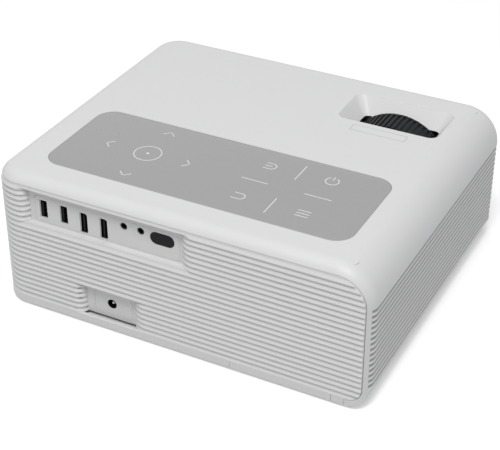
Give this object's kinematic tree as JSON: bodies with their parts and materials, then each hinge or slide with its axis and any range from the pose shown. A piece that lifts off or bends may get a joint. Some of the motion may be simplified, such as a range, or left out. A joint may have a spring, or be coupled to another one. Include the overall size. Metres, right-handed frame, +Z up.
{
  "type": "projector with built-in disc drive",
  "caption": "Rounded-box home projector with louvred walls, a finger-turned focus wheel in its top, a touch panel, coved rear socket recesses and a slide-out disc tray.",
  "frame": {"origin": "on the table, under the middle of the housing", "axes": "+Z up, lens looks along -Y, sockets on the +Y side, disc tray slides out along +X"},
  "size_m": [0.27, 0.233, 0.101],
  "materials": {
    "housing_white": "satin white moulded plastic",
    "panel_grey": "smooth grey touch surface",
    "trim_dark": "black moulded plastic",
    "plastic_black": "black moulded plastic",
    "paper_cone": "matt pulp",
    "filter_foam": "open foam",
    "rubber_grey": "matt rubber",
    "steel": "plated sheet and bar",
    "brass_insert": "turned",
    "copper_coil": "wound wire",
    "capacitor_sleeve": "shrunk sleeve",
    "board_green": "solder mask",
    "cast_fins": "extruded",
    "optical_glass": "polished",
    "mirror_glass": "front-silvered"
  },
  "bodies": {
    "housing": {"top_cover": "housing_white", "louvre_shell": "housing_white", "bottom_cover": "housing_white", "filter_door": "housing_white", "dust_filter": "filter_foam", "rubber_feet": "rubber_grey", "housing_screws": "steel", "tripod_insert": "brass_insert", "touch_panel": "panel_grey", "touch_board": "board_green", "port_plate": "housing_white", "ir_window": "trim_dark", "main_board": "board_green", "usb_sockets": "steel", "video_sockets": "steel", "audio_jacks": "trim_dark", "chip_heatsink": "cast_fins", "power_plate": "housing_white", "power_board": "board_green", "dc_jack": "trim_dark", "engine_box": "plastic_black", "engine_lid": "plastic_black", "fresnel_lenses": "optical_glass", "lcd_panel": "optical_glass", "heat_glass": "optical_glass", "fold_mirror": "mirror_glass", "light_cone": "plastic_black", "led_module": "cast_fins", "condenser_lens": "optical_glass", "heat_sink": "cast_fins", "exhaust_fan_frame": "plastic_black", "exhaust_duct": "plastic_black", "blower_case": "plastic_black", "lens_mount": "plastic_black", "ring_retainer": "steel", "lens_bezel": "housing_white", "speaker_frames": "plastic_black", "speaker_cones": "paper_cone", "speaker_magnets": "steel", "led_driver_board": "board_green", "driver_coils": "copper_coil", "driver_capacitors": "capacitor_sleeve", "drive_case": "steel", "drive_cover": "steel"},
    "focus_ring": {"focus_ring": "plastic_black"},
    "lens_barrel": {"lens_barrel": "plastic_black", "front_glass": "optical_glass", "rear_glass": "optical_glass", "focus_pin": "steel"},
    "tray": {"disc_tray": "plastic_black", "mech_plate": "steel", "sled_rods": "steel", "spindle_motor": "steel", "tray_bezel": "housing_white"},
    "tray_rails": {"tray_rails": "plastic_black"},
    "spindle": {"spindle_hub": "steel"},
    "sled": {"pickup_sled": "plastic_black"},
    "eject_button": {"eject_button": "housing_white"},
    "exhaust_impeller": {"exhaust_impeller": "plastic_black"},
    "blower_impeller": {"blower_impeller": "plastic_black"}
  },
  "joints": [
    {"name": "focus_turn", "type": "hinge", "parent": "housing", "child": "focus_ring", "pos_m": [-0.0735, -0.068, 0.062], "axis": [0, 1, 0], "range_deg": [-60, 60]},
    {"name": "lens_slide", "type": "slide", "parent": "housing", "child": "lens_barrel", "axis": [0, -1, 0], "range_m": [-0.003, 0.003]},
    {"name": "tray_slide", "type": "slide", "parent": "housing", "child": "tray", "axis": [1, 0, 0], "range_m": [0, 0.128]},
    {"name": "rail_slide", "type": "slide", "parent": "housing", "child": "tray_rails", "axis": [1, 0, 0], "range_m": [0, 0.064]},
    {"name": "spindle_spin", "type": "hinge", "parent": "tray", "child": "spindle", "pos_m": [0.067, -0.01, 0.0105], "axis": [0, 0, 1], "continuous": true},
    {"name": "sled_slide", "type": "slide", "parent": "tray", "child": "sled", "axis": [-0.7071, 0.7071, 0], "range_m": [0, 0.026]},
    {"name": "eject_press", "type": "slide", "parent": "tray", "child": "eject_button", "axis": [-1, 0, 0], "range_m": [0, 0.0008], "stiffness_N_per_m": 400},
    {"name": "exhaust_spin", "type": "hinge", "parent": "housing", "child": "exhaust_impeller", "pos_m": [0.0905, 0.014, 0.062], "axis": [1, 0, 0], "continuous": true},
    {"name": "blower_spin", "type": "hinge", "parent": "housing", "child": "blower_impeller", "pos_m": [0.018, 0.0795, 0.062], "axis": [0, 1, 0], "continuous": true}
  ],
  "couplings": [
    {"joint": "lens_slide", "follows": "focus_turn", "m_per_rad": 0.00286},
    {"joint": "rail_slide", "follows": "tray_slide", "ratio": 0.5}
  ]
}
